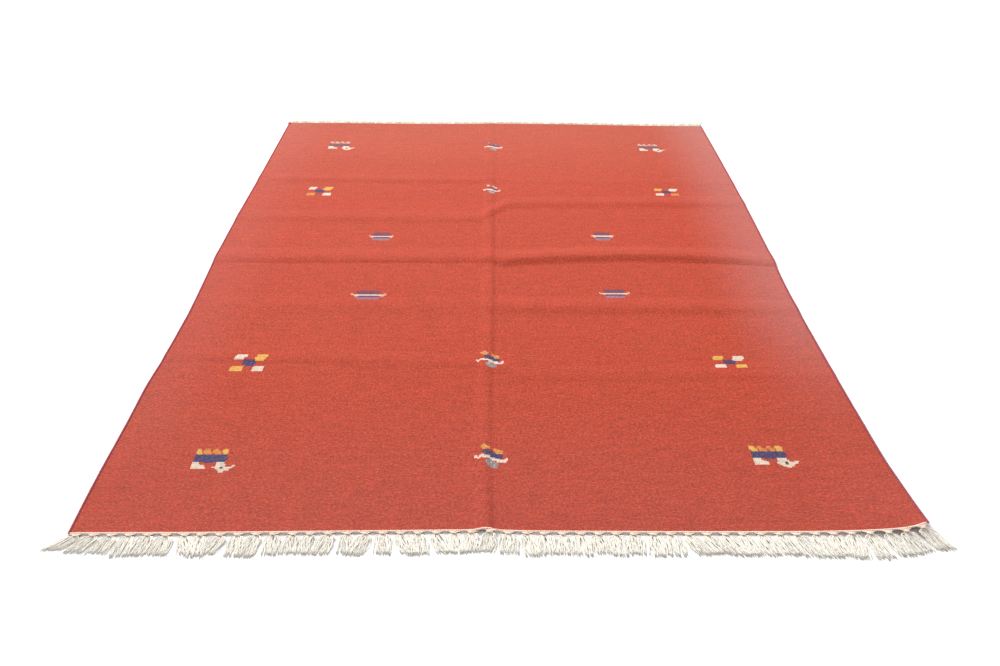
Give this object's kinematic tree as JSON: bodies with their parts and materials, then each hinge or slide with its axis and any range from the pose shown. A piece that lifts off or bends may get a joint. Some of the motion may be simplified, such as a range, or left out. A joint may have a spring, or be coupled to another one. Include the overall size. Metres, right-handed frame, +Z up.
{
  "type": "kilim rug with knotted fringe",
  "caption": "Flat-woven wool kilim rug lying open on the floor, with small woven folk motifs, overcast sides and a knotted cotton fringe at each end.",
  "frame": {"origin": "centre of the whole rug's box, on the floor that the rug lies on", "axes": "+X across the rug, +Y along it from the near end to the far end, +Z up from the floor"},
  "size_m": [1.758, 2.5506, 0.0175],
  "materials": {
    "red_wool": "weft-faced flat weave in terracotta red wool, matte",
    "crimson_wool": "overcast crimson wool edge, matte",
    "cream_cotton": "undyed twisted cotton yarn, matte"
  },
  "bodies": {
    "root": {"woven_field": "red_wool", "selvedge_left": "crimson_wool", "selvedge_right": "crimson_wool", "end_cord_near": "cream_cotton", "end_cord_far": "cream_cotton", "fringe_near": "cream_cotton", "fringe_far": "cream_cotton"}
  },
  "joints": []
}
